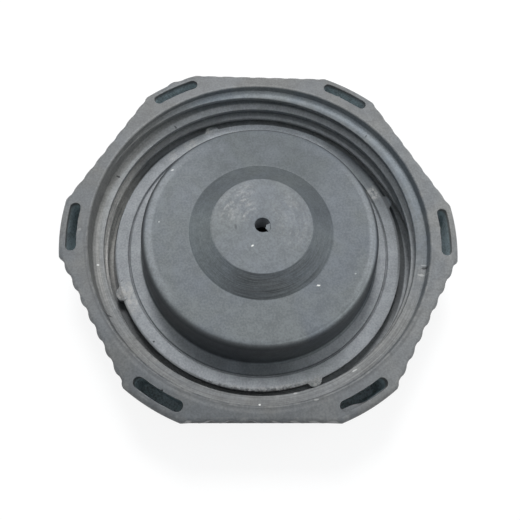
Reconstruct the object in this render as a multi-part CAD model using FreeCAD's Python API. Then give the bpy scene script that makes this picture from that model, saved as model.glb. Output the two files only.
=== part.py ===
"""Hexagonal screw cap for a fuel filler neck, lying on its outer face with the threaded side up.

Two moulded pieces. The plastic shell has six ribbed flats, a slot in the rim face at each rounded
corner and a coarse single-start thread inside. The rubber insert lies on the shell's floor: a flange that
seals against the end of the neck, a hollow boss that fills the neck, and a raised cone with a vent hole.

Millimetres. +Z is up, towards the open side, and the origin is in the middle of the outer face.
"""
import FreeCAD, Part
import math
import os

from FreeCAD import Vector

# Bore
bore_radius = 34.8
bore_depth = 12.4            # rim face to the floor
floor_thickness = 3.6

# Thread on the bore's wall, right-handed
thread_height = 2.1          # bore to crest
thread_pitch = 3.5
thread_crest_width = 0.8
thread_flank_angle = 20.0    # each flank from the thread's own plane
thread_start_depth = 1.45    # rim face to the middle of the crest where the thread starts
thread_floor_gap = 1.8       # floor to the middle of the crest where the thread ends
thread_start_angle = 198.0   # seen from the open side, anticlockwise from +X
thread_run_in = 150.0        # angle over which the thread grows out of the wall
thread_run_out = 60.0        # angle over which it sinks back

# Shell outline, at its widest just below the rim face
flat_wall = 2.6              # bore to the floor of a flat's recess
flat_width = 29.5            # between the rounded corners
wall_draft = 3.0             # how far every side leans in towards the outer face, in degrees
rim_chamfer = 0.9            # outer edge of the rim face
foot_chamfer = 1.5           # edge of the outer face

# Recess in each flat, and the grip ribs that stand in it
recess_depth = 0.5
recess_land = 0.4            # plain strip beside each corner
recess_foot = 2.5            # outer face to the recess
rib_pitch = 3.75
rib_width = 2.6
rib_height = 0.45

# Slot in the rim face at each corner
slot_land = 1.5              # slot to the outside of the corner
slot_width = 2.1
slot_length = 10.4           # end to end along the centre line
slot_depth = 11.0

# Insert flange: a sealing ring, a groove and an inner ring round the boss
flange_thickness = 2.8
flange_clearance = 1.35      # flange to thread crest
seal_ring_width = 2.7
groove_width = 0.6
groove_depth = 0.6
inner_ring_width = 2.45

# Insert boss
boss_height = 9.15           # above the flange
boss_draft = 1.2             # how much smaller the radius is at the top
boss_edge_round = 1.8
insert_wall = 2.2            # side wall and top of the hollow boss

# Raised cone on the boss
cone_base_radius = 14.85
cone_run = 4.6               # width of the sloping flank, seen from above
cone_height = 2.6
vent_radius = 1.55

# Lugs that centre the flange inside the thread's crest
lug_count = 4
lug_width = 3.4
lug_height = 1.6
lug_first_angle = 21.1
lug_clearance = 0.25         # lug tip to thread crest

# How far cutting tools and joined features run past a surface
OVERRUN = 1.0
AXIS = Vector(0, 0, 1)

shell_height = floor_thickness + bore_depth
widest_height = shell_height - rim_chamfer
flat_apothem = bore_radius + flat_wall + recess_depth
corner_radius = math.hypot(flat_apothem, flat_width / 2.0)
slot_radius = corner_radius - slot_land - slot_width / 2.0
thread_crest_radius = bore_radius - thread_height
flange_radius = thread_crest_radius - flange_clearance
flange_top = floor_thickness + flange_thickness
groove_outer_radius = flange_radius - seal_ring_width
groove_inner_radius = groove_outer_radius - groove_width
boss_base_radius = groove_inner_radius - inner_ring_width
boss_top_radius = boss_base_radius - boss_draft
boss_top = flange_top + boss_height


def polar(radius, degrees, height=0.0):
    """The point at a radius, angle and height from the axis."""
    angle = math.radians(degrees)
    return Vector(radius * math.cos(angle), radius * math.sin(angle), height)


def turned(shape, degrees):
    """A copy of a shape, turned about the axis."""
    copy = shape.copy()
    copy.rotate(Vector(0, 0, 0), AXIS, degrees)
    return copy


def arc(first, middle, last):
    """The edge of an arc through three points."""
    return Part.Arc(first, middle, last).toShape()


def line(first, last):
    """A straight edge."""
    return Part.LineSegment(first, last).toShape()


def closed_face(points):
    """The flat face inside a closed line of points."""
    return Part.Face(Part.makePolygon(points + points[:1]))


def wall_line(reach):
    """The wall from the outer face up to the rim face, for a flat or a corner whose widest reach is given."""
    foot_reach = reach - (widest_height - foot_chamfer) * math.tan(math.radians(wall_draft))
    return [
        Vector(0, foot_reach - foot_chamfer, 0),
        Vector(0, foot_reach, foot_chamfer),
        Vector(0, reach, widest_height),
        Vector(0, reach - rim_chamfer, shell_height),
    ]


def hexagon_body():
    """A turned body with six flats cut on it, which leaves its round wall at the corners."""
    section = [Vector(0, 0, 0)] + wall_line(corner_radius) + [Vector(0, 0, shell_height)]
    body = closed_face(section).revolve(Vector(0, 0, 0), AXIS, 360)
    outside = corner_radius + OVERRUN
    beyond = wall_line(flat_apothem) + [Vector(0, outside, shell_height), Vector(0, outside, 0)]
    flat = closed_face(beyond).extrude(Vector(2 * corner_radius, 0, 0))
    flat.translate(Vector(-corner_radius, 0, 0))
    return body.cut([turned(flat, 60.0 * side) for side in range(6)])


def grip_rib(x):
    """A round-backed rib of the flat on +Y, as a bar that runs past both ends of the recess."""
    floor = flat_apothem - recess_depth
    root = floor - OVERRUN
    half_width = rib_width / 2.0
    low = recess_foot - OVERRUN
    corners = [
        Vector(x + half_width, floor, low),
        Vector(x + half_width, root, low),
        Vector(x - half_width, root, low),
        Vector(x - half_width, floor, low),
    ]
    edges = [line(first, last) for first, last in zip(corners, corners[1:])]
    edges.append(arc(corners[3], Vector(x, floor + rib_height, low), corners[0]))
    return Part.Face(Part.Wire(edges)).extrude(AXIS * (shell_height + 2 * OVERRUN))


def grip_cutter():
    """What is cut from the flat on +Y: a shallow recess, open at the rim face, less the ribs in it."""
    floor = flat_apothem - recess_depth
    outside = flat_apothem + OVERRUN
    mouth_half = flat_width / 2.0 - recess_land
    # the end walls slope at 45 degrees
    floor_half = mouth_half - recess_depth
    outside_half = mouth_half + OVERRUN
    outline = [
        Vector(-floor_half, floor, recess_foot),
        Vector(floor_half, floor, recess_foot),
        Vector(outside_half, outside, recess_foot),
        Vector(-outside_half, outside, recess_foot),
    ]
    recess = closed_face(outline).extrude(AXIS * (shell_height - recess_foot + OVERRUN))
    rib_count = int(flat_width / rib_pitch)
    ribs = [grip_rib((rib - (rib_count - 1) / 2.0) * rib_pitch) for rib in range(rib_count)]
    cutter = recess.cut(ribs)
    # it leans with the wall
    cutter.rotate(Vector(0, flat_apothem, widest_height), Vector(1, 0, 0), -wall_draft)
    return cutter


def corner_slot():
    """The slot of the corner on +X: an arc about the axis with round ends, open at the rim face."""
    inner = slot_radius - slot_width / 2.0
    outer = slot_radius + slot_width / 2.0
    half_angle = math.degrees((slot_length - slot_width) / 2.0 / slot_radius)
    end_angle = math.degrees(slot_length / 2.0 / slot_radius)
    edges = [
        arc(polar(outer, -half_angle), polar(outer, 0), polar(outer, half_angle)),
        arc(polar(outer, half_angle), polar(slot_radius, end_angle), polar(inner, half_angle)),
        arc(polar(inner, half_angle), polar(inner, 0), polar(inner, -half_angle)),
        arc(polar(inner, -half_angle), polar(slot_radius, -end_angle), polar(outer, -half_angle)),
    ]
    slot = Part.Face(Part.Wire(edges)).extrude(AXIS * (slot_depth + OVERRUN))
    slot.translate(AXIS * (shell_height - slot_depth))
    return slot


def thread_path():
    """The crest's middle line: a helix that comes out of the wall, runs at full height and goes back in."""
    drop = bore_depth - thread_start_depth - thread_floor_gap
    whole_angle = 360.0 * drop / thread_pitch
    buried = bore_radius + thread_crest_width / 2.0
    steps = max(8, math.ceil(whole_angle / 20.0))
    points = []
    for step in range(steps + 1):
        turn = whole_angle * step / steps
        share = min(1.0, turn / thread_run_in, (whole_angle - turn) / thread_run_out)
        # eased at both ends, so the ridge leaves the wall and levels off without a kink
        grown = share * share * (3.0 - 2.0 * share)
        radius = buried + (thread_crest_radius - buried) * grown
        height = shell_height - thread_start_depth - thread_pitch * turn / 360.0
        points.append(polar(radius, thread_start_angle - turn, height))
    curve = Part.BSplineCurve()
    curve.interpolate(points)
    return Part.Wire(curve.toShape())


def thread_ridge():
    """The thread as a bar of trapezoid section, rooted half way into the thinnest wall."""
    path = thread_path()
    root_radius = bore_radius + flat_wall / 2.0
    root_length = root_radius - thread_crest_radius
    half_crest = thread_crest_width / 2.0
    half_root = half_crest + root_length * math.tan(math.radians(thread_flank_angle))
    start = path.Vertexes[0].Point
    outward = Vector(start.x, start.y, 0).normalize()
    corners = [
        start + AXIS * half_crest,
        start + outward * root_length + AXIS * half_root,
        start + outward * root_length - AXIS * half_root,
        start - AXIS * half_crest,
    ]
    sweep = Part.BRepOffsetAPI.MakePipeShell(path)
    sweep.setBiNormalMode(AXIS)
    sweep.add(Part.makePolygon(corners + corners[:1]))
    sweep.build()
    sweep.makeSolid()
    # where the thread sinks into the wall, its root would come out on the far side
    return sweep.shape().common(Part.makeCylinder(root_radius, shell_height))


def cap_shell():
    """The moulded cap body: ribbed hexagon, corner slots, bore and thread in one piece."""
    grip = grip_cutter()
    slot = corner_slot()
    bore = Part.makeCylinder(bore_radius, bore_depth + OVERRUN, AXIS * floor_thickness)
    cutters = [bore]
    cutters += [turned(grip, 60.0 * flat) for flat in range(6)]
    cutters += [turned(slot, 60.0 * corner) for corner in range(6)]
    return hexagon_body().cut(cutters).fuse(thread_ridge())


def insert_profile():
    """Half the insert's section, in the plane of +X and +Z, without its rounded edge."""
    cavity_radius = boss_top_radius - insert_wall
    cavity_top = boss_top - insert_wall
    groove_floor = flange_top - groove_depth
    return [
        Vector(vent_radius, 0, boss_top + cone_height),
        Vector(cone_base_radius - cone_run, 0, boss_top + cone_height),
        Vector(cone_base_radius, 0, boss_top),
        Vector(boss_top_radius, 0, boss_top),
        Vector(boss_base_radius, 0, flange_top),
        Vector(groove_inner_radius, 0, flange_top),
        Vector(groove_inner_radius, 0, groove_floor),
        Vector(groove_outer_radius, 0, groove_floor),
        Vector(groove_outer_radius, 0, flange_top),
        Vector(flange_radius, 0, flange_top),
        Vector(flange_radius, 0, floor_thickness),
        Vector(cavity_radius, 0, floor_thickness),
        Vector(cavity_radius, 0, cavity_top),
        Vector(vent_radius, 0, cavity_top),
    ]


def circle_edges(solid, radius, height):
    """The solid's circular edges about the axis with this radius and height."""
    found = []
    for edge in solid.Edges:
        curve = edge.Curve
        if not isinstance(curve, Part.Circle):
            continue
        if abs(curve.Radius - radius) < 0.001 and abs(curve.Center.z - height) < 0.001:
            found.append(edge)
    return found


def flange_lug():
    """The lug on +X: a round-nosed tongue from inside the flange to just short of the thread's crest."""
    tip = thread_crest_radius - lug_clearance
    half_width = lug_width / 2.0
    base = flange_top - lug_height
    root = flange_radius - seal_ring_width / 2.0
    nose = Part.makeCylinder(half_width, lug_height, Vector(tip - half_width, 0, base), AXIS)
    tongue = Part.makeBox(tip - half_width - root, lug_width, lug_height, Vector(root, -half_width, base))
    return tongue.fuse(nose)


def seal_insert():
    """The moulded rubber insert: sealing flange, hollow boss, cone with its vent hole, and lugs."""
    body = closed_face(insert_profile()).revolve(Vector(0, 0, 0), AXIS, 360)
    body = body.makeFillet(boss_edge_round, circle_edges(body, boss_top_radius, boss_top))
    lug = flange_lug()
    lugs = [turned(lug, lug_first_angle + 360.0 / lug_count * place) for place in range(lug_count)]
    return body.fuse(lugs)


def save(name, shape):
    """Checks that a piece is one sound solid and writes it."""
    solids = shape.removeSplitter().Solids
    if len(solids) != 1 or not solids[0].isValid():
        raise RuntimeError(f"{name} is {len(solids)} solids, or isn't sound")
    solids[0].exportStep(os.path.join("parts", name + ".step"))
    print(f"{name}: {solids[0].Volume / 1000.0:.2f} cm3")


os.makedirs("parts", exist_ok=True)
save("cap_shell", cap_shell())
save("seal_insert", seal_insert())
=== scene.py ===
"""Dressed model of a hexagonal fuel cap, laid out as a Blender add-on.

The cap lies on its outer face, open side up. One operator builds the moulded shell with its ribs, slots and
thread, one the rubber insert with its flange, boss and vent, and one the table, lamps and camera. The sizes
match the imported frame, and lengths are in metres.
"""

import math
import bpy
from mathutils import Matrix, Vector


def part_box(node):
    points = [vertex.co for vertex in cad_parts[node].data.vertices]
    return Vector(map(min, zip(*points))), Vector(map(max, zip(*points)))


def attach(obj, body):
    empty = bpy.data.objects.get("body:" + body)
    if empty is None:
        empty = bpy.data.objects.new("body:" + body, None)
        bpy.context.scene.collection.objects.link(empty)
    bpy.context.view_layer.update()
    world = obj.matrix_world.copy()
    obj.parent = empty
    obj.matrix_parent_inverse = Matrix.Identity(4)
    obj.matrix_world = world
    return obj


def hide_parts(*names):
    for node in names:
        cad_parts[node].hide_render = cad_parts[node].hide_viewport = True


bl_info = {
    "name": "Hexagonal fuel cap",
    "version": (1, 0, 0),
    "blender": (4, 5, 0),
    "location": "3D View > Sidebar > Fuel Cap",
    "description": "Builds the shell, the rubber insert and a plain studio around the packed frame",
    "category": "Add Mesh",
}

import bmesh
import bpy
from bpy.props import FloatProperty, FloatVectorProperty, IntProperty, PointerProperty
from mathutils import Matrix, Vector, noise

MM = 0.001

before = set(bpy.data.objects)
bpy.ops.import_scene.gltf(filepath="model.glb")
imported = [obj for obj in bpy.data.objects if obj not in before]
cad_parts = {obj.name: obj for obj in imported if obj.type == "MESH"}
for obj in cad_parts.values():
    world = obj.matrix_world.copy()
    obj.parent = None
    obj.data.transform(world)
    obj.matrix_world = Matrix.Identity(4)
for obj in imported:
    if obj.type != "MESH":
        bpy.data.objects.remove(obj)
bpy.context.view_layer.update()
SHELL_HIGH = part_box("cap_shell")[1]
INSERT_LOW, INSERT_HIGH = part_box("seal_insert")


def length_value(name, description, default):
    """A size in metres."""
    return FloatProperty(name=name, description=description, default=default, unit="LENGTH")


def angle_value(name, description, degrees):
    """An angle, whose default is given in degrees."""
    return FloatProperty(name=name, description=description, default=math.radians(degrees), subtype="ANGLE")


def colour_value(name, description, default):
    """A colour."""
    return FloatVectorProperty(name=name, description=description, default=default, subtype="COLOR",
                               min=0.0, max=1.0)


class ShellSettings(bpy.types.PropertyGroup):
    """Sizes of the moulded shell."""

    height: length_value("Height", "Outer face to rim face", SHELL_HIGH.z)
    corner_radius: length_value("Corner radius", "Axis to the rounded corners", SHELL_HIGH.x)
    flat_apothem: length_value("Flat apothem", "Axis to a flat's plain strips", SHELL_HIGH.y)
    wall_draft: angle_value("Wall draft", "Lean of the sides towards the outer face", 3.0)
    foot_chamfer: length_value("Foot chamfer", "Chamfer of the outer face's edge", 1.5 * MM)
    rim_round: length_value("Rim round", "Radius of the rim face's outer edge", 1.1 * MM)
    recess_depth: length_value("Recess depth", "Recess in each flat", 0.5 * MM)
    recess_foot: length_value("Recess foot", "Outer face to the recess", 2.5 * MM)
    rib_count: IntProperty(name="Ribs", description="Grip ribs on each flat", default=7, min=1)
    rib_pitch: length_value("Rib pitch", "Middle to middle of the ribs", 3.75 * MM)
    rib_width: length_value("Rib width", "Width of a rib at its root", 2.6 * MM)
    rib_height: length_value("Rib height", "How far a rib stands out of its recess", 0.45 * MM)
    slot_radius: length_value("Slot radius", "Axis to the slots' centre lines", 38.1 * MM)
    slot_width: length_value("Slot width", "Width of a corner slot", 2.1 * MM)
    slot_length: length_value("Slot length", "End to end of a corner slot", 10.4 * MM)
    slot_depth: length_value("Slot depth", "Rim face to the slot's floor", 11.0 * MM)
    bore_radius: length_value("Bore radius", "Radius of the bore's wall", 34.8 * MM)
    bore_round: length_value("Bore edge round", "Radius of the bore's mouth", 0.35 * MM)


class ThreadSettings(bpy.types.PropertyGroup):
    """Sizes of the thread in the shell's bore."""

    height: length_value("Height", "Bore to crest", 2.1 * MM)
    pitch: length_value("Pitch", "Turn to turn", 3.5 * MM)
    crest_width: length_value("Crest width", "Width of the crest", 0.8 * MM)
    flank_angle: angle_value("Flank angle", "Each flank from the thread's own plane", 20.0)
    start_depth: length_value("Start depth", "Rim face to the crest at the start", 1.45 * MM)
    floor_gap: length_value("Floor gap", "Floor to the crest at the end", 1.8 * MM)
    start_angle: angle_value("Start angle", "Where the thread starts, from +X", 198.0)
    run_in: angle_value("Run in", "Angle over which the thread leaves the wall", 150.0)
    run_out: angle_value("Run out", "Angle over which it sinks back", 60.0)


class InsertSettings(bpy.types.PropertyGroup):
    """Sizes of the rubber insert."""

    floor: length_value("Floor", "Height that the insert lies at", INSERT_LOW.z)
    top: length_value("Top", "Height of the raised cone's top", INSERT_HIGH.z)
    flange_radius: length_value("Flange radius", "Axis to the flange's edge", INSERT_HIGH.x)
    flange_thickness: length_value("Flange thickness", "Thickness of the flange", 2.8 * MM)
    groove_radius: length_value("Groove radius", "Axis to the groove's outer wall", 28.65 * MM)
    groove_width: length_value("Groove width", "Width of the groove", 0.6 * MM)
    groove_depth: length_value("Groove depth", "Depth of the groove", 0.6 * MM)
    boss_radius: length_value("Boss radius", "Radius of the boss at the flange", 25.6 * MM)
    boss_draft: length_value("Boss draft", "How much less the radius is at the top", 1.2 * MM)
    boss_round: length_value("Boss round", "Radius of the boss's upper edge", 1.8 * MM)
    cone_radius: length_value("Cone radius", "Radius at the foot of the raised cone", 14.85 * MM)
    cone_run: length_value("Cone run", "Width of the cone's flank from above", 4.6 * MM)
    cone_height: length_value("Cone height", "Height of the raised cone", 2.6 * MM)
    vent_radius: length_value("Vent radius", "Radius of the vent hole", 1.55 * MM)
    wall: length_value("Wall", "Wall of the hollow boss", 2.2 * MM)
    lug_count: IntProperty(name="Lugs", description="Lugs round the flange", default=4, min=1)
    lug_reach: length_value("Lug reach", "How far a lug stands out of the flange", 1.1 * MM)
    lug_width: length_value("Lug width", "Width of a lug", 3.4 * MM)
    lug_height: length_value("Lug height", "Thickness of a lug", 1.6 * MM)
    lug_angle: angle_value("Lug angle", "Place of the first lug, from +X", 21.1)


class StageSettings(bpy.types.PropertyGroup):
    """The camera's place and the lamps."""

    aim: FloatVectorProperty(name="Aim", description="Point that the camera looks at",
                             default=(-0.292 * MM, -6.71 * MM, 16.0 * MM), subtype="TRANSLATION")
    distance: length_value("Distance", "Camera to aim", 106.36 * MM)
    elevation: angle_value("Elevation", "Camera above the horizon", 70.18)
    azimuth: angle_value("Azimuth", "Camera round the axis, from the -Y side", -7.0)
    roll: angle_value("Roll", "Camera's own turn", 7.305)
    lens: FloatProperty(name="Lens", description="Focal length in millimetres on a 36 mm sensor",
                        default=36.93)
    key: FloatProperty(name="Key lamp", description="Watts of the lamp behind the cap", default=2.2)
    right: FloatProperty(name="Right lamp", description="Watts of the lamp on the right", default=0.3)
    room: FloatProperty(name="Room light", description="Strength of the even light all round", default=0.8)


class FinishSettings(bpy.types.PropertyGroup):
    """Colours of the two materials and of what lies on them."""

    plastic: colour_value("Plastic", "Moulded shell", (0.149, 0.153, 0.155))
    rubber: colour_value("Rubber", "Moulded insert", (0.15, 0.162, 0.17))
    dust: colour_value("Dust", "Dust and worn edges", (0.34, 0.335, 0.32))
    lint: colour_value("Lint", "Small pale specks", (0.75, 0.75, 0.73))


def smooth_step(low, high, value):
    """Zero below low, one above high, and an eased ramp between."""
    share = min(1.0, max(0.0, (value - low) / (high - low)))
    return share * share * (3.0 - 2.0 * share)


def polar(radius, angle, height):
    """The point at a radius, angle and height from the axis."""
    return Vector((radius * math.cos(angle), radius * math.sin(angle), height))


def from_axis(point):
    """A point's distance from the axis, and its angle round it."""
    return point.xy.length, math.atan2(point.y, point.x)


def push_out(point, distance):
    """Moves a point straight away from the axis."""
    point.xy *= 1.0 + distance / point.xy.length


def rounded_line(corners, step=math.radians(15)):
    """The points of a line through corners (x, y, radius), each rounded by an arc of its radius."""
    points = []
    for place, (x, y, radius) in enumerate(corners):
        corner = Vector((x, y))
        if radius == 0.0:
            points.append(corner)
            continue
        back = (Vector(corners[place - 1][:2]) - corner).normalized()
        ahead = (Vector(corners[place + 1][:2]) - corner).normalized()
        half = back.angle(ahead) / 2.0
        centre = corner + (back + ahead).normalized() * (radius / math.sin(half))
        spoke = corner + back * (radius / math.tan(half)) - centre
        sweep = math.pi - 2.0 * half
        if back.x * ahead.y - back.y * ahead.x > 0.0:
            sweep = -sweep
        steps = max(2, math.ceil(abs(sweep) / step))
        for turn in range(steps + 1):
            points.append(centre + Matrix.Rotation(sweep * turn / steps, 2) @ spoke)
    return points


def parts_of(made, kind):
    """The vertices, edges or faces among what an operator made."""
    return [item for item in made["geom"] if isinstance(item, kind)]


def closed_wall(bm, rings):
    """A wall from ring to ring: a circle moved onto the first, then extruded onto each of the others."""
    loop = bmesh.ops.create_circle(bm, segments=len(rings[0]), radius=1.0)["verts"]
    edges = [bm.edges.get((first, last)) for first, last in zip(loop, loop[1:] + loop[:1])]
    for vertex, point in zip(loop, rings[0]):
        vertex.co = point
    for ring in rings[1:]:
        made = bmesh.ops.extrude_edge_only(bm, edges=edges)
        fresh = set(parts_of(made, bmesh.types.BMVert))
        edges = [edge for edge in parts_of(made, bmesh.types.BMEdge) if edge.is_boundary]
        ends = [[edge.other_vert(vertex) for edge in vertex.link_edges] for vertex in loop]
        loop = [next(end for end in near if end in fresh) for near in ends]
        for vertex, point in zip(loop, ring):
            vertex.co = point


def extrude_round(bm, edges, profile):
    """Extrudes a loop about the axis along a profile, whose points (radius, height) start on the loop."""
    for before, after in zip(profile, profile[1:]):
        made = bmesh.ops.extrude_edge_only(bm, edges=edges)
        edges = [edge for edge in parts_of(made, bmesh.types.BMEdge) if edge.is_boundary]
        for vertex in parts_of(made, bmesh.types.BMVert):
            vertex.co.xy *= 1.0 + (after.x - before.x) / vertex.co.xy.length
            vertex.co.z += after.y - before.y
    return edges


def mark_edges(bm, name):
    """Stores how much each vertex stands on an outer edge, from 0 to 1, for wear in the material."""
    layer = bm.verts.layers.float.new(name)
    full_wear = math.radians(12.0)
    for vertex in bm.verts:
        angles = [edge.calc_face_angle_signed(0.0) for edge in vertex.link_edges]
        vertex[layer] = min(1.0, max(0.0, max(angles) / full_wear))


def to_object(bm, name, material, node):
    """Finishes a mesh: normals outwards, smooth faces with sharp edges kept, and its place in the part."""
    bmesh.ops.recalc_face_normals(bm, faces=bm.faces)
    mark_edges(bm, "edge_wear")
    sharp = math.radians(40.0)
    for face in bm.faces:
        face.smooth = True
    for edge in bm.edges:
        edge.smooth = edge.calc_face_angle(0.0) < sharp
    mesh = bpy.data.meshes.new(name)
    bm.to_mesh(mesh)
    bm.free()
    piece = bpy.data.objects.new(name, mesh)
    bpy.context.scene.collection.objects.link(piece)
    mesh.materials.append(material)
    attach(piece, "root")
    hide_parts(node)
    return piece


def rib_relief(s, x):
    """Depth of the flat's surface below its plain strips, at a distance along the flat."""
    span = s.rib_count * s.rib_pitch / 2.0
    # past the last rib the recess's floor goes on a little, then rises to the plain strip
    floor_end = span + 0.35 * MM
    strip_start = span + 1.1 * MM
    if abs(x) > span:
        return s.recess_depth * (1.0 - smooth_step(floor_end, strip_start, abs(x)))
    first = -(s.rib_count - 1) / 2.0 * s.rib_pitch
    nearest = first + round((x - first) / s.rib_pitch) * s.rib_pitch
    arch = 1.0 - ((x - nearest) / (s.rib_width / 2.0)) ** 2
    # how softly a rib meets the recess's floor, as a share of the rib's height
    soft = 0.3
    risen = 0.5 * (arch + math.sqrt(arch * arch + soft * soft)) / (0.5 + 0.5 * math.hypot(1.0, soft))
    return s.recess_depth - s.rib_height * risen


def deeper(first, second, soft):
    """The greater of two depths, with a soft change from one to the other."""
    return 0.5 * (first + second + math.sqrt((first - second) ** 2 + soft ** 2))


def hexagon_ring(s, inset, lean, relief, height):
    """The shell's outline at a height, moved in by the wall's lean and by the deeper of inset and ribs."""
    arc_steps = 14
    flat_steps = 116
    soft = 0.06 * MM
    radius = s.corner_radius - inset - lean
    apothem = s.flat_apothem - inset - lean
    half_flat = math.sqrt(radius ** 2 - apothem ** 2)
    full_half = math.sqrt(s.corner_radius ** 2 - s.flat_apothem ** 2)
    arc_half = math.radians(30.0) - math.acos(apothem / radius)
    points = []
    for side in range(6):
        corner = math.radians(60.0 * side)
        for step in range(arc_steps):
            points.append(polar(radius, corner + arc_half * (2.0 * step / arc_steps - 1.0), height))
        turn = Matrix.Rotation(corner + math.radians(30.0), 3, "Z")
        for step in range(flat_steps):
            along = 2.0 * step / flat_steps - 1.0
            ribs = rib_relief(s, along * full_half) * relief
            depth = deeper(inset, ribs, soft) if ribs > 0.0 else inset
            points.append(turn @ Vector((s.flat_apothem - lean - depth, along * half_flat, height)))
    return points


def raise_burr(s, point):
    """Moves a point of the outer wall out where the real cap has a burr on one corner's rim edge."""
    radius, angle = from_axis(point)
    out = smooth_step(s.corner_radius - 1.2 * MM, s.corner_radius - 0.5 * MM, radius)
    high = smooth_step(s.height - 3.0 * MM, s.height - 1.2 * MM, point.z)
    # the burr itself and its low tail
    burr = 0.45 * MM * bump(angle, 119.2, 2.6) + 0.1 * MM * bump(angle, 114.0, 3.0)
    push_out(point, burr * out * high)


def add_outside(bm, s):
    """The outer wall, from the rim face's edge down over the ribs and the chamfer to the outer face."""
    rim = s.rim_round
    slope = math.tan(s.wall_draft)
    foot_lean = (s.height - rim - s.foot_chamfer) * slope
    # a narrow strip of the rim face belongs to the wall, so that the face is shaded flat
    strip = 0.03 * MM
    rings = [hexagon_ring(s, rim + strip, 0.0, 1.0, s.height)]
    for step in range(10):
        angle = math.radians(10.0 * step)
        height = s.height - rim * (1.0 - math.cos(angle))
        rings.append(hexagon_ring(s, rim * (1.0 - math.sin(angle)), 0.0, 1.0, height))
    # the troughs run out in a scoop above the chamfer
    scoop = 0.5 * MM
    for step in range(7):
        angle = math.radians(15.0 * step)
        height = s.recess_foot + scoop * (1.0 - math.sin(angle))
        lean = (s.height - rim - height) * slope
        rings.append(hexagon_ring(s, 0.0, lean, math.cos(angle), height))
    chamfer = rounded_line([(0.0, s.recess_foot, 0.0), (0.0, s.foot_chamfer, 0.4 * MM),
                            (s.foot_chamfer, 0.0, 0.5 * MM), (s.foot_chamfer + 1.0 * MM, 0.0, 0.0)])
    rings += [hexagon_ring(s, point.x, foot_lean, 0.0, point.y) for point in chamfer[1:]]
    for point in (point for ring in rings for point in ring):
        raise_burr(s, point)
    closed_wall(bm, rings)


def slot_ring(s, corner, growth, height):
    """The outline of a corner slot, widened by growth: an arc about the axis with round ends."""
    half_width = s.slot_width / 2.0 + growth
    half_angle = (s.slot_length - s.slot_width) / 2.0 / s.slot_radius
    along_steps = 48
    end_steps = 12
    points = []
    for side in (1.0, -1.0):
        for step in range(along_steps):
            angle = corner + side * half_angle * (2.0 * step / along_steps - 1.0)
            points.append(polar(s.slot_radius + side * half_width, angle, height))
        end = corner + side * half_angle
        middle = polar(s.slot_radius, end, height)
        for step in range(end_steps):
            points.append(middle + polar(side * half_width, end + math.pi * step / end_steps, 0.0))
    return points


def bump(angle, middle, reach):
    """One at a middle angle, falling smoothly to zero at the reach on either side, both in degrees."""
    share = min(1.0, abs(angle_off(angle, middle)) / reach)
    return 0.5 + 0.5 * math.cos(math.pi * share)


def angle_off(angle, middle):
    """Degrees from a middle given in degrees to an angle in radians, between -180 and 180."""
    return (math.degrees(angle) - middle + 180.0) % 360.0 - 180.0


def wear_slots(s, verts):
    """Gives the slots the uneven inner edges, nicks and flake of the real cap's."""
    # each nick's angle and reach in degrees, and how far it moves the slot's inner edge in millimetres
    nicks = ((240.5, 0.4, -0.35), (239.6, 0.3, -0.12), (61.6, 0.5, 0.18), (1.4, 0.7, 0.14),
             (359.2, 0.5, -0.1), (183.0, 1.2, 0.08))
    roughness = 0.05 * MM
    grit_per_metre = 1400.0
    flake_size = 0.8 * MM
    flake_angle = 294.5
    flake_reach = 6.5
    for vertex in verts:
        radius, angle = from_axis(vertex.co)
        depth = (s.height - vertex.co.z) / MM
        inner = smooth_step(0.3 * MM, -0.5 * MM, radius - s.slot_radius)
        outer = smooth_step(-0.3 * MM, 0.4 * MM, radius - s.slot_radius)
        fade = 1.0 - smooth_step(0.5, 2.5, depth)
        rough = noise.noise(Vector((vertex.co.x, vertex.co.y, 0.0)) * grit_per_metre)
        shift = roughness * rough * (0.4 + 0.6 * inner) * fade
        for place, reach, change in nicks:
            shift += inner * fade * change * MM * bump(angle, place, reach)
        flake = bump(angle, flake_angle, flake_reach) * smooth_step(0.7, 1.3, depth)
        push_out(vertex.co, shift - flake_size * flake * outer)


def add_slots(bm, s):
    """The six corner slots: an eased mouth, the wall and a floor with rounded edges."""
    mouth_round = 0.1 * MM
    # the strips of the rim face and of the floor that belong to the wall
    rim_strip = 0.02 * MM
    floor_strip = 0.6 * MM
    floor = s.height - s.slot_depth
    outline = rounded_line([(mouth_round + rim_strip, s.height, 0.0), (0.0, s.height, mouth_round),
                            (0.0, floor, 0.4 * MM), (-floor_strip, floor, 0.0)], step=math.radians(30))
    # more rings below the mouth, for its nicks and the flake, at these depths in millimetres
    below = s.height - mouth_round - 0.01 * MM
    place = next(number for number, point in enumerate(outline) if point.y < below)
    outline[place:place] = [Vector((0.0, s.height - depth * MM)) for depth in (0.35, 0.7, 1.0, 1.3, 2.5)]
    for corner in range(6):
        angle = math.radians(60.0 * corner)
        closed_wall(bm, [slot_ring(s, angle, point.x, point.y) for point in outline])
    wear_slots(s, bm.verts)


def thread_section(t):
    """The thread's section over one pitch, top down: height out of the wall, height above its middle."""
    half_crest = t.crest_width / 2.0
    half_root = half_crest + t.height * math.tan(t.flank_angle)
    half_pitch = t.pitch / 2.0
    root_round = 0.3 * MM
    crest_round = 0.25 * MM
    return rounded_line([(0.0, half_pitch, 0.0), (0.0, half_root, root_round),
                         (t.height, half_crest, crest_round), (t.height, -half_crest, crest_round),
                         (0.0, -half_root, root_round), (0.0, -half_pitch, 0.0)], step=math.radians(18))


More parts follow.
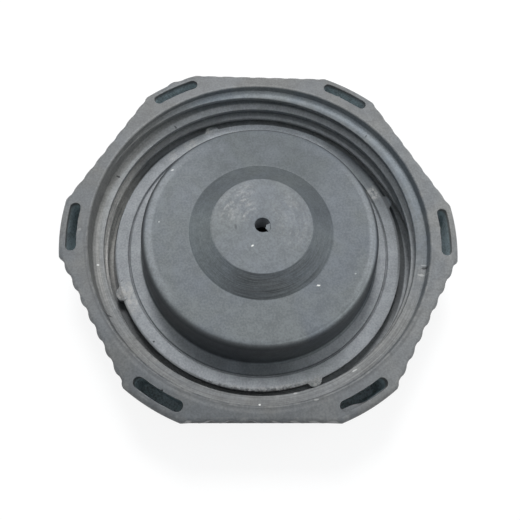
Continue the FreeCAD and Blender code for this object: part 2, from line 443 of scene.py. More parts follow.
def screw(s, t, turns):
    """The thread as an open sheet: one turn spun from its section above the rim, and repeated downwards."""
    around = 480
    start = s.height - t.start_depth + t.pitch
    sheet = bmesh.new()
    verts = [sheet.verts.new(polar(s.bore_radius - point.x, t.start_angle, start + point.y))
             for point in thread_section(t)]
    edges = [sheet.edges.new(pair) for pair in zip(verts, verts[1:])]
    bmesh.ops.spin(sheet, geom=verts + edges, cent=(0.0, 0.0, 0.0), axis=(0.0, 0.0, 1.0),
                   dvec=(0.0, 0.0, -t.pitch / around), angle=-math.tau, steps=around,
                   use_merge=False, use_normal_flip=False, use_duplicate=False)
    turn = sheet.verts[:] + sheet.edges[:] + sheet.faces[:]
    for number in range(1, turns):
        copied = parts_of(bmesh.ops.duplicate(sheet, geom=turn), bmesh.types.BMVert)
        bmesh.ops.translate(sheet, vec=(0.0, 0.0, -t.pitch * number), verts=copied)
    bmesh.ops.remove_doubles(sheet, verts=sheet.verts, dist=0.002 * MM)
    return sheet


def sink_thread(bm, s, t, whole):
    """Lets the thread rise out of the wall over its run-in and sink back over its run-out."""
    # where the thread hasn't begun, its crest would lie this much behind the wall
    spare = 0.4 * MM
    for vertex in bm.verts:
        radius, angle = from_axis(vertex.co)
        turned = (t.start_angle - angle) % math.tau
        above = vertex.co.z - (s.height - t.start_depth - t.pitch * turned / math.tau)
        travelled = turned - round(above / t.pitch) * math.tau
        share = max(0.0, min(1.0, travelled / t.run_in, (whole - travelled) / t.run_out))
        sunk = (t.height + spare) * (1.0 - smooth_step(0.0, 1.0, share))
        reach = s.bore_radius - max(0.0, s.bore_radius - radius - sunk)
        vertex.co.xy *= reach / radius


def add_bore(bm, s, t, floor):
    """The bore: the thread's screw, cut level, sunk at its ends and given its mouth and foot."""
    whole = math.tau * (s.height - floor - t.start_depth - t.floor_gap) / t.pitch
    # from one turn above the rim to one below the floor
    bore = screw(s, t, math.ceil((s.height - floor) / t.pitch) + 1)
    top = s.height - s.bore_round
    foot_round = 0.35 * MM
    bottom = floor + foot_round
    # the strips of the rim face and of the floor that belong to the bore
    rim_strip = 0.08 * MM
    floor_strip = 1.0 * MM
    for height, side in ((top, 1.0), (bottom, -1.0)):
        bmesh.ops.bisect_plane(bore, geom=bore.verts[:] + bore.edges[:] + bore.faces[:], dist=0.0005 * MM,
                               plane_co=(0.0, 0.0, height), plane_no=(0.0, 0.0, side), clear_outer=True)
        cut = {vertex for edge in open_edges(bore, height) for vertex in edge.verts}
        for vertex in cut:
            vertex.co.z = height
        bmesh.ops.remove_doubles(bore, verts=list(cut), dist=0.03 * MM)
    sink_thread(bore, s, t, whole)
    mouth = rounded_line([(s.bore_radius, top - 0.01 * MM, 0.0), (s.bore_radius, s.height, s.bore_round),
                          (s.bore_radius + s.bore_round + rim_strip, s.height, 0.0)])
    foot = rounded_line([(s.bore_radius, bottom + 0.01 * MM, 0.0), (s.bore_radius, floor, foot_round),
                         (s.bore_radius - floor_strip, floor, 0.0)])
    extrude_round(bore, open_edges(bore, top), mouth[1:])
    extrude_round(bore, open_edges(bore, bottom), foot[1:])
    join(bm, bore)


def join(bm, other):
    """Moves one mesh into another."""
    mesh = bpy.data.meshes.new("joined")
    other.to_mesh(mesh)
    other.free()
    bm.from_mesh(mesh)
    bpy.data.meshes.remove(mesh)


def open_edges(bm, height):
    """The open edges that lie at a height."""
    return [edge for edge in bm.edges if edge.is_boundary
            and all(abs(vertex.co.z - height) < 0.003 * MM for vertex in edge.verts)]


def build_shell(s, t, floor, material):
    """The whole moulded shell as one closed mesh."""
    bm = bmesh.new()
    add_slots(bm, s)
    add_outside(bm, s)
    add_bore(bm, s, t, floor)
    bmesh.ops.triangle_fill(bm, use_beauty=True, use_dissolve=False, edges=open_edges(bm, s.height))
    bmesh.ops.holes_fill(bm, edges=[edge for edge in bm.edges if edge.is_boundary], sides=0)
    return to_object(bm, "moulded_shell", material, "cap_shell")


def insert_section(s):
    """The insert's section as (radius, height), from the vent's top edge out, down and back inside."""
    flange_top = s.floor + s.flange_thickness
    boss_top = s.top - s.cone_height
    groove_inner = s.groove_radius - s.groove_width
    groove_floor = flange_top - s.groove_depth
    cavity = s.boss_radius - s.boss_draft - s.wall
    cavity_top = boss_top - s.wall
    lug_base = flange_top - s.lug_height
    cone_round = 0.3 * MM
    flange_round = 0.2 * MM
    groove_round = 0.12 * MM
    return rounded_line([
        (s.vent_radius, cavity_top, 0.0),
        (s.vent_radius, s.top - 0.9 * MM, 0.0),
        (s.vent_radius, s.top - 0.4 * MM, 0.0),
        (s.vent_radius, s.top, 0.15 * MM),
        (s.cone_radius - s.cone_run, s.top, cone_round),
        (s.cone_radius, boss_top, cone_round),
        (s.boss_radius - s.boss_draft, boss_top, s.boss_round),
        (s.boss_radius, flange_top, 0.6 * MM),
        (groove_inner, flange_top, groove_round),
        (s.groove_radius - 0.5 * s.groove_width, groove_floor, 0.08 * MM),
        (s.groove_radius, flange_top, groove_round),
        (s.flange_radius, flange_top, flange_round),
        (s.flange_radius, lug_base + 0.1 * MM, 0.0),
        (s.flange_radius, lug_base, 0.0),
        (s.flange_radius, s.floor, flange_round),
        (cavity, s.floor, 0.0),
        (cavity, cavity_top, 0.5 * MM),
        (s.vent_radius, cavity_top, 0.0),
    ], step=math.radians(12))


def shape_flange(bm, s):
    """Pulls the lugs out of the flange's edge and roughens the stretch of it that is torn."""
    lug_base = s.floor + s.flange_thickness - s.lug_height
    # the share of a lug's width that its curve spans
    curve_share = 0.86
    half_angle = curve_share * s.lug_width / 2.0 / s.flange_radius
    # the power that makes a lug's outline squarer than an ellipse
    squareness = 2.4
    apart = math.tau / s.lug_count
    torn_depth = 0.35 * MM
    torn_middle = 272.0
    torn_reach = 19.0
    for vertex in bm.verts:
        radius, angle = from_axis(vertex.co)
        if radius < s.flange_radius - 0.5 * MM or vertex.co.z < lug_base + 0.05 * MM:
            continue
        across = abs((angle - s.lug_angle + apart / 2.0) % apart - apart / 2.0) / half_angle
        out = s.lug_reach * math.sqrt(max(0.0, 1.0 - across ** squareness))
        rough = noise.noise(Vector((math.degrees(angle) * 0.9, 0.0, 0.0)))
        rough += 0.6 * noise.noise(Vector((math.degrees(angle) * 2.3, 5.0, 0.0)))
        out += torn_depth * bump(angle, torn_middle, torn_reach) * max(0.0, rough)
        push_out(vertex.co, out)


def tear_vent(bm, s):
    """Pulls the torn flap out of one side of the vent hole and widens the hole beside it."""
    flap_middle = -14.0
    flap_reach = 32.0
    flap_low = s.top - 0.95 * MM
    flap_high = s.top - 0.35 * MM
    flap = []
    for face in bm.faces:
        centre = face.calc_center_median()
        radius, angle = from_axis(centre)
        on_wall = radius < s.vent_radius + 0.02 * MM and flap_low < centre.z < flap_high
        if on_wall and abs(angle_off(angle, flap_middle)) < flap_reach:
            flap.append(face)
    made = bmesh.ops.extrude_face_region(bm, geom=flap)
    bmesh.ops.delete(bm, geom=flap, context="FACES_ONLY")
    # the flap narrows and leans across the hole
    tip_radius = 0.45 * MM
    tip_share = 0.72
    for vertex in parts_of(made, bmesh.types.BMVert):
        angle = from_axis(vertex.co)[1]
        tip = polar(tip_radius, 0.5 * angle - math.radians(10.0), s.top - 0.5 * MM)
        vertex.co = vertex.co.lerp(tip, tip_share)
        vertex.co.z += 0.1 * MM
    widening = 0.38 * MM
    widest = -38.0
    widening_reach = 32.0
    for vertex in bm.verts:
        radius, angle = from_axis(vertex.co)
        on_edge = s.vent_radius - 0.05 * MM < radius < s.vent_radius + 0.4 * MM
        if on_edge and vertex.co.z > s.top - 0.5 * MM:
            push_out(vertex.co, widening * bump(angle, widest, widening_reach))


def build_insert(s, material):
    """The whole rubber insert as one closed mesh, spun from its section."""
    around = 720
    bm = bmesh.new()
    points = [bm.verts.new((point.x, 0.0, point.y)) for point in insert_section(s)[:-1]]
    edges = [bm.edges.new((first, last)) for first, last in zip(points, points[1:] + points[:1])]
    bmesh.ops.spin(bm, geom=points + edges, cent=(0.0, 0.0, 0.0), axis=(0.0, 0.0, 1.0),
                   dvec=(0.0, 0.0, 0.0), angle=math.tau, steps=around,
                   use_merge=True, use_normal_flip=False, use_duplicate=False)
    shape_flange(bm, s)
    tear_vent(bm, s)
    # the real cone stands a little off the middle of the boss
    off_centre = 0.15 * MM
    for vertex in bm.verts:
        radius = vertex.co.xy.length
        if radius < s.vent_radius + 0.6 * MM or vertex.co.z > s.top - s.cone_height - 0.05 * MM:
            share = smooth_step(s.cone_radius + 2.0 * MM, s.cone_radius + 0.2 * MM, radius)
            vertex.co.x += off_centre * share
    return to_object(bm, "rubber_insert", material, "seal_insert")


def shader_group(name, inputs, outputs):
    """An empty shader node group with sockets named in two lists: points are vectors, the rest numbers."""
    group = bpy.data.node_groups.new(name, "ShaderNodeTree")
    for way, sockets in (("INPUT", inputs), ("OUTPUT", outputs)):
        for socket in sockets:
            kind = "NodeSocketVector" if socket == "Point" else "NodeSocketFloat"
            group.interface.new_socket(name=socket, in_out=way, socket_type=kind)
    return group, group.nodes.new("NodeGroupInput").outputs, group.nodes.new("NodeGroupOutput").inputs


def put(tree, kind, *inputs, **settings):
    """Adds a node with its settings and with its inputs, in order, as numbers or links."""
    node = tree.nodes.new(kind)
    for key, value in settings.items():
        setattr(node, key, value)
    for socket, value in zip(node.inputs, inputs):
        if isinstance(value, bpy.types.NodeSocket):
            tree.links.new(value, socket)
        elif value is not None:
            socket.default_value = value
    return node


def use(tree, group, **inputs):
    """Adds a node for a named group, with its inputs by name, and returns its outputs."""
    node = tree.nodes.new("ShaderNodeGroup")
    node.node_tree = bpy.data.node_groups[group]
    for key, value in inputs.items():
        if isinstance(value, bpy.types.NodeSocket):
            tree.links.new(value, node.inputs[key])
        else:
            node.inputs[key].default_value = value
    return node.outputs


def calc(tree, operation, *values):
    """A Math node's result."""
    return put(tree, "ShaderNodeMath", *values, operation=operation).outputs[0]


def ramp(tree, value, low, high, to_low=0.0, to_high=1.0):
    """A value eased from one range into another."""
    return put(tree, "ShaderNodeMapRange", value, low, high, to_low, to_high,
               interpolation_type="SMOOTHSTEP").outputs[0]


def blend(tree, share, first, second, kind="MIX"):
    """A colour between two, or one laid on the other."""
    node = put(tree, "ShaderNodeMix", share, data_type="RGBA", blend_type=kind)
    for socket, value in ((node.inputs[6], first), (node.inputs[7], second)):
        if isinstance(value, bpy.types.NodeSocket):
            tree.links.new(value, socket)
        else:
            socket.default_value = (*value, 1.0)
    return node.outputs[2]


def speckle(tree, point, per_mm, detail=2.0, roughness=0.5, distortion=0.0):
    """Noise over a point in millimetres."""
    return put(tree, "ShaderNodeTexNoise", point, None, per_mm, detail, roughness, 2.0, None, None,
               distortion).outputs[0]


def place_group():
    """Shader group: the point in millimetres, and its radius, angle in degrees and height."""
    group, _, end = shader_group("cap_place", [], ["Point", "Radius", "Angle", "Height"])
    point = put(group, "ShaderNodeVectorMath", put(group, "ShaderNodeTexCoord").outputs["Object"],
                operation="SCALE")
    point.inputs["Scale"].default_value = 1.0 / MM
    apart = put(group, "ShaderNodeSeparateXYZ", point.outputs[0]).outputs
    flat = put(group, "ShaderNodeCombineXYZ", apart[0], apart[1], 0.0).outputs[0]
    radius = put(group, "ShaderNodeVectorMath", flat, operation="LENGTH").outputs["Value"]
    angle = calc(group, "DEGREES", calc(group, "ARCTAN2", apart[1], apart[0]))
    group.links.new(point.outputs[0], end["Point"])
    group.links.new(radius, end["Radius"])
    group.links.new(calc(group, "FLOORED_MODULO", angle, 360.0), end["Angle"])
    group.links.new(apart[2], end["Height"])
    return group


def grain_group():
    """Shader group: the fine matte grain of a moulding, as a height and as a lighter and darker tone."""
    group, start, end = shader_group("moulded_grain", ["Point", "Size"], ["Height", "Tone", "Mottle"])
    point = put(group, "ShaderNodeVectorMath", start["Point"], operation="SCALE")
    group.links.new(calc(group, "DIVIDE", 1.0, start["Size"]), point.inputs["Scale"])
    fine = speckle(group, point.outputs[0], 1.0, 3.0, 0.6)
    broad = speckle(group, point.outputs[0], 0.19, 3.0, 0.6, 0.4)
    patch = speckle(group, start["Point"], 0.09, 3.0, 0.55, 0.6)
    group.links.new(fine, end["Height"])
    tone = calc(group, "ADD", calc(group, "MULTIPLY", fine, 0.6), calc(group, "MULTIPLY", broad, 0.4))
    group.links.new(ramp(group, tone, 0.36, 0.64), end["Tone"])
    group.links.new(ramp(group, patch, 0.32, 0.68), end["Mottle"])
    return group


def turning_group():
    """Shader group: fine lines round the axis, broken along their length, as left by a turned mould."""
    group, start, end = shader_group("turning_lines", ["Radius", "Angle", "Width"], ["Line"])
    turn = calc(group, "RADIANS", start["Angle"])
    across = calc(group, "DIVIDE", start["Radius"], start["Width"])
    # the greater this number, the more often a line breaks on its way round
    breaks = 2.2
    along = [calc(group, "MULTIPLY", calc(group, way, turn), breaks) for way in ("COSINE", "SINE")]
    point = put(group, "ShaderNodeCombineXYZ", across, *along).outputs[0]
    group.links.new(ramp(group, speckle(group, point, 1.0, 1.0, 0.5), 0.3, 0.7), end["Line"])
    return group


def sector_group():
    """Shader group: a mask for a stretch of a ring, soft at its ends and edges."""
    group, start, end = shader_group(
        "ring_stretch", ["Radius", "Angle", "Middle", "Reach", "Inner", "Outer", "Soft"], ["Mask"])
    turned = calc(group, "SUBTRACT", start["Angle"], start["Middle"])
    off = calc(group, "ABSOLUTE", calc(group, "WRAP", turned, 180.0, -180.0))
    along = ramp(group, calc(group, "DIVIDE", off, start["Reach"]), 1.0, 0.35)
    edges = [calc(group, "DIVIDE", calc(group, "SUBTRACT", start[first], start[second]), start["Soft"])
             for first, second in (("Radius", "Inner"), ("Outer", "Radius"))]
    edges = [ramp(group, edge, -0.5, 0.5) for edge in edges]
    group.links.new(calc(group, "MULTIPLY", along, calc(group, "MULTIPLY", *edges)), end["Mask"])
    return group


def mark_group():
    """Shader group: a small long mark at a point seen from above, turned by an angle, with a rough edge."""
    group, start, end = shader_group("small_mark", ["Point", "X", "Y", "Turn", "Length", "Width"], ["Mask"])
    apart = put(group, "ShaderNodeSeparateXYZ", start["Point"]).outputs
    flat = put(group, "ShaderNodeCombineXYZ", apart[0], apart[1], 0.0).outputs[0]
    centre = put(group, "ShaderNodeCombineXYZ", start["X"], start["Y"], 0.0).outputs[0]
    moved = put(group, "ShaderNodeVectorMath", flat, centre, operation="SUBTRACT").outputs[0]
    turn = calc(group, "MULTIPLY", calc(group, "RADIANS", start["Turn"]), -1.0)
    turned = put(group, "ShaderNodeVectorRotate", moved, None, None, turn, rotation_type="Z_AXIS").outputs[0]
    sides = put(group, "ShaderNodeSeparateXYZ", turned).outputs
    along = calc(group, "DIVIDE", sides[0], start["Length"])
    across = calc(group, "DIVIDE", sides[1], start["Width"])
    share = put(group, "ShaderNodeCombineXYZ", along, across, 0.0).outputs[0]
    away = put(group, "ShaderNodeVectorMath", share, operation="LENGTH").outputs["Value"]
    rough = calc(group, "MULTIPLY", speckle(group, start["Point"], 3.5, 2.0), 1.2)
    reach = calc(group, "SUBTRACT", calc(group, "ADD", away, rough), 0.6)
    group.links.new(ramp(group, reach, 1.0, 0.6), end["Mask"])
    return group


def at(radius, angle):
    """X and Y in millimetres of a place given by its radius and its angle in degrees."""
    return radius * math.cos(math.radians(angle)), radius * math.sin(math.radians(angle))


class Surface:
    """A material while it is built: the place and the grain on it, and its colour, layer by layer."""

    def __init__(self, name, base, mottle, grain_size, specular):
        """Starts with the base colour, mottled between two shares of it."""
        self.material = bpy.data.materials.new(name)
        self.material.use_nodes = True
        self.tree = self.material.node_tree
        self.shader = self.tree.nodes["Principled BSDF"]
        self.shader.inputs["Specular IOR Level"].default_value = specular
        self.point, self.radius, self.angle, self.height = use(self.tree, "cap_place")
        self.grain = use(self.tree, "moulded_grain", Point=self.point, Size=grain_size)
        tones = [[channel * share for channel, share in zip(base, shares)] for shares in mottle]
        self.colour = blend(self.tree, self.grain["Mottle"], *tones)

    def times(self, mask, *others):
        """The product of masks."""
        for other in others:
            mask = calc(self.tree, "MULTIPLY", mask, other)
        return mask

    def strongest(self, mask, *others):
        """The greatest of masks."""
        for other in others:
            mask = calc(self.tree, "MAXIMUM", mask, other)
        return mask

    def between(self, value, low, high):
        """A mask that is zero where the value is at low and one where it is at high."""
        return ramp(self.tree, value, low, high)

    def by_height(self, low, high):
        """A mask that is zero at one height and one at the other, in millimetres."""
        return self.between(self.height, low, high)

    def by_radius(self, low, high):
        """A mask that is zero at one radius and one at the other, in millimetres."""
        return self.between(self.radius, low, high)

    def patchy(self, low, high, **noise_settings):
        """A mask of patches: a noise on the surface, eased from low to high."""
        return self.between(speckle(self.tree, self.point, **noise_settings), low, high)

    def lines(self, width):
        """Turning lines of a width in millimetres."""
        return use(self.tree, "turning_lines", Radius=self.radius, Angle=self.angle, Width=width)["Line"]

    def strongest_of(self, group, keys, rows, **place):
        """The strongest of a group's masks. Each row holds the values for the keys and a strength."""
        total = 0.0
        for *values, strength in rows:
            mask = use(self.tree, group, **place, **dict(zip(keys, values)))["Mask"]
            total = self.strongest(self.times(mask, strength), total)
        return total

    def stretches(self, *rows):
        """The strongest of several stretches of rings (middle, reach, inner, outer, soft, strength)."""
        keys = ("Middle", "Reach", "Inner", "Outer", "Soft")
        return self.strongest_of("ring_stretch", keys, rows, Radius=self.radius, Angle=self.angle)

    def marks(self, *rows):
        """The strongest of several small marks (x, y, turn, length, width, strength)."""
        keys = ("X", "Y", "Turn", "Length", "Width")
        return self.strongest_of("small_mark", keys, rows, Point=self.point)

    def lay(self, colour, *masks):
        """Lays a colour on, where the product of the masks is."""
        self.colour = blend(self.tree, self.times(*masks), self.colour, colour)

    def shade(self, factor, *masks):
        """Multiplies the colour by a factor, where the product of the masks is."""
        self.lay(blend(self.tree, 1.0, self.colour, factor, "MULTIPLY"), *masks)

    def add_grain(self, dark, pale):
        """Gives the colour the grain's darker and paler specks."""
        tones = [blend(self.tree, 1.0, self.colour, (share,) * 3, "MULTIPLY") for share in (dark, pale)]
        self.colour = blend(self.tree, self.grain["Tone"], *tones)

    def finish(self, roughness, relief, strength, depth):
        """Links the colour, the roughness and a bump, whose depth is in millimetres, to the shader."""
        bumps = put(self.tree, "ShaderNodeBump", strength, depth * MM)
        self.tree.links.new(relief, bumps.inputs["Height"])
        self.tree.links.new(self.colour, self.shader.inputs["Base Color"])
        self.tree.links.new(roughness, self.shader.inputs["Roughness"])
        self.tree.links.new(bumps.outputs[0], self.shader.inputs["Normal"])
        return self.material


def paint_sheen_and_tone_on_plastic(skin):
    """Painted sheen and tone on the plastic. The bore gets a painted sheen and the rim on the right is
    paler; the rim near the left and the bore's edge are darker, and the far ledge of the first turn gets
    painted light.
    """
    # painted sheen over the whole bore, and the rim paler on the right
    skin.shade((1.5, 1.5, 1.5), skin.stretches((180.0, 400.0, 30.0, 35.3, 0.4, 0.5),
                                               (0.0, 75.0, 35.0, 42.0, 0.4, 0.6)))
    # the rim near the left, and the bore's edge
    darker = skin.stretches((252.0, 50.0, 36.2, 42.0, 0.5, 0.75), (220.0, 75.0, 34.74, 35.1, 0.1, 1.0),
                            (20.0, 75.0, 34.78, 35.1, 0.05, 0.5))
    skin.shade((0.62, 0.64, 0.66), darker, skin.by_height(9.0, 12.0))
    bluish = skin.stretches((60.0, 120.0, 32.0, 34.9, 0.2, 1.0))
    skin.shade((0.94, 1.0, 1.05), bluish)
    # painted light: the far ledge of the first turn is made much paler, where the lamps leave it in shade
    first_turn = skin.stretches((65.0, 75.0, 33.4, 34.72, 0.8, 1.0), (10.0, 80.0, 34.7, 34.9, 0.1, 0.2))
    skin.shade((1.75, 1.76, 1.78), first_turn, skin.by_height(11.4, 12.2))


def dust_and_light_on_ledges(skin):
    """Grey dust and painted light on the far ledges of the lower turns and at the foot of the bore."""
    second_turn = skin.times(skin.stretches((90.0, 140.0, 32.6, 34.0, 0.5, 1.0)),
                             skin.by_height(12.0, 11.4), skin.by_height(5.5, 9.5))
    third_turn = skin.times(skin.stretches((60.0, 75.0, 32.4, 33.3, 0.3, 0.9)),
                            skin.by_height(8.2, 7.6), skin.by_height(5.0, 5.4))
    bare = skin.strongest(skin.by_radius(32.8, 33.4), skin.stretches((308.0, 42.0, 31.0, 34.8, 0.2, 1.0)))
    foot = skin.times(skin.by_height(4.2, 3.8), bare, skin.by_radius(35.1, 34.9), 0.7)
    # the grey laid here is partly dust and partly painted light, where the lamps leave these ledges in shade
    skin.lay((0.46, 0.48, 0.5), skin.strongest(second_turn, third_turn, foot))


def paint_thread_dust_light_and_shade(skin, dust_colour):
    """Pale dust, turning lines and grime on the thread and the bore's lip, painted light on the lower turns
    at the left, and painted shade on the crests and under the flange's edge. Returns the lines' mask.
    """
    streak = skin.lines(0.16)
    dust = skin.stretches((170.0, 60.0, 33.4, 34.9, 0.6, 1.0), (168.0, 60.0, 32.3, 34.9, 0.3, 0.5),
                          (228.0, 50.0, 33.8, 34.9, 0.4, 0.3), (318.0, 38.0, 32.6, 34.6, 0.6, 0.4),
                          (345.5, 4.0, 33.3, 34.8, 0.5, 0.5))
    skin.lay(dust_colour, dust, skin.by_height(5.0, 7.0), skin.between(streak, -0.6, 0.8), 0.85)
    both = calc(skin.tree, "MULTIPLY", calc(skin.tree, "ADD", streak, skin.lines(0.34)), 0.5)
    lined = skin.stretches((275.0, 90.0, 32.0, 35.7, 0.5, 0.9), (172.0, 60.0, 32.0, 34.0, 0.5, 0.5))
    scored = skin.times(calc(skin.tree, "SUBTRACT", 1.0, both), lined, 0.6)
    mouth = skin.stretches((250.0, 110.0, 34.85, 35.5, 0.4, 0.45), (205.0, 55.0, 34.2, 34.8, 0.3, 0.35),
                           (272.0, 50.0, 33.85, 34.15, 0.2, 0.35), (266.0, 75.0, 34.6, 34.72, 0.1, 0.4),
                           (262.0, 80.0, 35.55, 35.65, 0.12, 0.3))
    line = skin.strongest(scored, mouth)
    skin.lay((0.03, 0.032, 0.034), line)
    # painted light: the left of the lower turns and of the bore's foot is made much paler
    painted_light_low_left = skin.stretches((172.0, 32.0, 32.3, 34.4, 0.2, 1.0))
    skin.lay((0.78, 0.76, 0.72), painted_light_low_left, skin.by_height(9.0, 8.4), skin.between(streak, -0.3, 0.35))
    # painted shade: the crests of the upper turns are darkened in places, and the bore is darkened under the
    # flange's edge
    second_turn = skin.times(skin.stretches((50.0, 120.0, 31.5, 32.76, 0.08, 1.0)),
                             skin.by_height(7.5, 8.2), skin.by_height(12.0, 11.4))
    first_turn = skin.stretches((85.0, 60.0, 31.5, 32.76, 0.08, 0.9), (267.0, 45.0, 31.5, 32.76, 0.08, 1.0))
    first_turn = skin.times(first_turn, skin.by_height(10.8, 11.2))
    skin.shade((0.45, 0.47, 0.49), skin.strongest(second_turn, first_turn))
    painted_shade_under_flange = skin.stretches((205.0, 34.0, 31.0, 33.4, 0.2, 0.7), (0.0, 45.0, 31.0, 33.2, 0.2, 1.0))
    skin.shade((0.35, 0.36, 0.37), painted_shade_under_flange, skin.by_height(4.4, 4.2))
    return line


def dust_and_light_in_slots(skin):
    """Bluish dust and painted light inside the slots; the colour starts lower in the near ones."""
    # degrees from the nearest corner
    from_corner = calc(skin.tree, "ABSOLUTE", calc(skin.tree, "WRAP", skin.angle, 30.0, -30.0))
    lowered = skin.stretches((270.0, 90.0, 36.0, 41.0, 0.1, 1.0))
    inside = skin.times(skin.by_radius(36.6, 36.9), skin.by_radius(39.4, 39.3),
                        skin.between(from_corner, 10.2, 9.8))
    below = skin.between(calc(skin.tree, "ADD", skin.height, lowered), 15.6, 14.4)
    # the pale colour inside the slots is partly dust and partly painted light in their depth
    skin.lay((0.45, 0.53, 0.56), inside, below, skin.between(skin.grain["Tone"], -0.8, 0.8),
             skin.by_height(2.0, 4.0))


def plastic_material(finish):
    """Faded black moulded plastic: grainy and mottled, dusty and dirty in the thread, with painted sheen,
    light and shade in the bore and slots, worn on its edges.
    """
    skin = Surface("moulded_plastic", finish.plastic, mottle=((0.88, 0.91, 0.95), (1.1, 1.08, 1.05)),
                   grain_size=0.42, specular=0.4)
    paint_sheen_and_tone_on_plastic(skin)
    dust_and_light_on_ledges(skin)
    line = paint_thread_dust_light_and_shade(skin, finish.dust)
    dust_and_light_in_slots(skin)
    skin.add_grain(dark=0.78, pale=1.1)
    worn = put(skin.tree, "ShaderNodeAttribute", attribute_name="edge_wear").outputs["Fac"]
    chipped = skin.patchy(0.4, 0.75, per_mm=0.6, detail=4.0, roughness=0.6)
    skin.lay(finish.dust, worn, chipped, 0.35)
    dark = skin.marks((*at(33.6, 45.3), 50.0, 0.4, 0.2, 0.6), (*at(33.2, 125.5), 125.0, 0.42, 0.3, 0.9),
                      (*at(33.9, 156.0), 160.0, 0.5, 0.3, 0.9), (*at(34.6, 210.3), 158.0, 0.75, 0.16, 0.9),
                      (*at(34.5, 347.9), 172.0, 0.75, 0.28, 0.9))
    pale = skin.marks((*at(34.4, 269.5), 0.0, 0.25, 0.2, 0.9), (*at(33.9, 191.4), 0.0, 0.28, 0.22, 0.9),
                      (*at(33.3, 303.0), 30.0, 0.7, 0.16, 0.45), (*at(34.1, 345.3), 170.0, 0.9, 0.3, 0.3),
                      (*at(34.2, 349.0), 170.0, 0.7, 0.16, 0.3), (*at(35.2, 286.5), 10.0, 0.5, 0.16, 0.25),
                      (*at(36.5, 181.0), 20.0, 0.5, 0.35, 0.15), (*at(32.9, 281.5), 5.0, 0.5, 0.2, 0.25))
    upper = skin.by_height(9.0, 12.0)
    skin.lay((0.02, 0.021, 0.024), dark, upper, skin.by_height(15.4, 14.6))
    skin.lay(finish.lint, pale, upper)
    roughness = ramp(skin.tree, skin.grain["Mottle"], 0.0, 1.0, to_low=0.5, to_high=0.62)
    relief = calc(skin.tree, "SUBTRACT", skin.grain["Height"], skin.times(line, 0.5))
    return skin.finish(roughness, relief, strength=0.7, depth=0.04)


def shade_rubber(skin, cone, boss_top):
    """The dark walls of the boss and the cone, painted light on their paler sides, and painted shade where
    shadows fall. Returns the cone's flank as a mask.
    """
    # the boss's wall is darker: rubber without bloom, and painted shade
    wall = skin.by_height(boss_top - 0.02, boss_top - 0.65)
    skin.shade((0.42, 0.42, 0.43), wall, skin.by_radius(26.0, 25.0))
    brow, foot = cone
    flank = skin.times(skin.by_radius(brow - 0.05, brow + 0.1), skin.by_radius(foot + 0.05, foot - 0.1))
    skin.shade((0.48, 0.5, 0.51), flank)
    # painted light on the cone's flank at the near left and near right, and on the boss's edge at the near
    # right
    paler = skin.stretches((202.0, 62.0, *cone, 0.1, 1.0), (325.0, 55.0, *cone, 0.1, 0.8),
                           (310.0, 55.0, 23.4, 26.0, 0.4, 0.8))
    skin.shade((1.75, 1.74, 1.72), paler)
    # painted shade: the boss's shadow on the near flange, the wall's shadow on the flange at the right, and
    # the cone's near flank; the far side of the boss's top and a stretch of the boss's edge at the right are
    # darker too
    darker = skin.stretches((85.0, 65.0, foot, 23.8, 1.5, 0.7), (262.0, 50.0, 25.3, 28.1, 0.3, 1.0),
                            (35.0, 35.0, 29.3, 31.6, 1.0, 0.6), (275.0, 80.0, *cone, 0.2, 0.75),
                            (350.0, 30.0, 24.0, 26.9, 0.2, 1.0))
    skin.shade((0.6, 0.62, 0.64), darker, skin.between(skin.grain["Mottle"], -0.6, 0.6))
    return flank


def turn_flank(skin, cone, flank):
    """Turning lines on the cone's flank, strongest on its near right side. Returns their place and them."""
    carved = skin.stretches((288.0, 75.0, *cone, 0.2, 0.7), (215.0, 50.0, *cone, 0.2, 0.3))
    skin.shade((0.5, 0.5, 0.5), carved, skin.lines(0.3))
    from_strongest = calc(skin.tree, "WRAP", calc(skin.tree, "SUBTRACT", skin.angle, 290.0), 180.0, -180.0)
    share = ramp(skin.tree, calc(skin.tree, "ABSOLUTE", from_strongest), 110.0, 15.0, to_low=0.25)
    turned = skin.times(flank, share)
    streak = skin.lines(0.13)
    skin.lay((0.24, 0.25, 0.26), turned, skin.times(streak, 0.22))
    return turned, streak


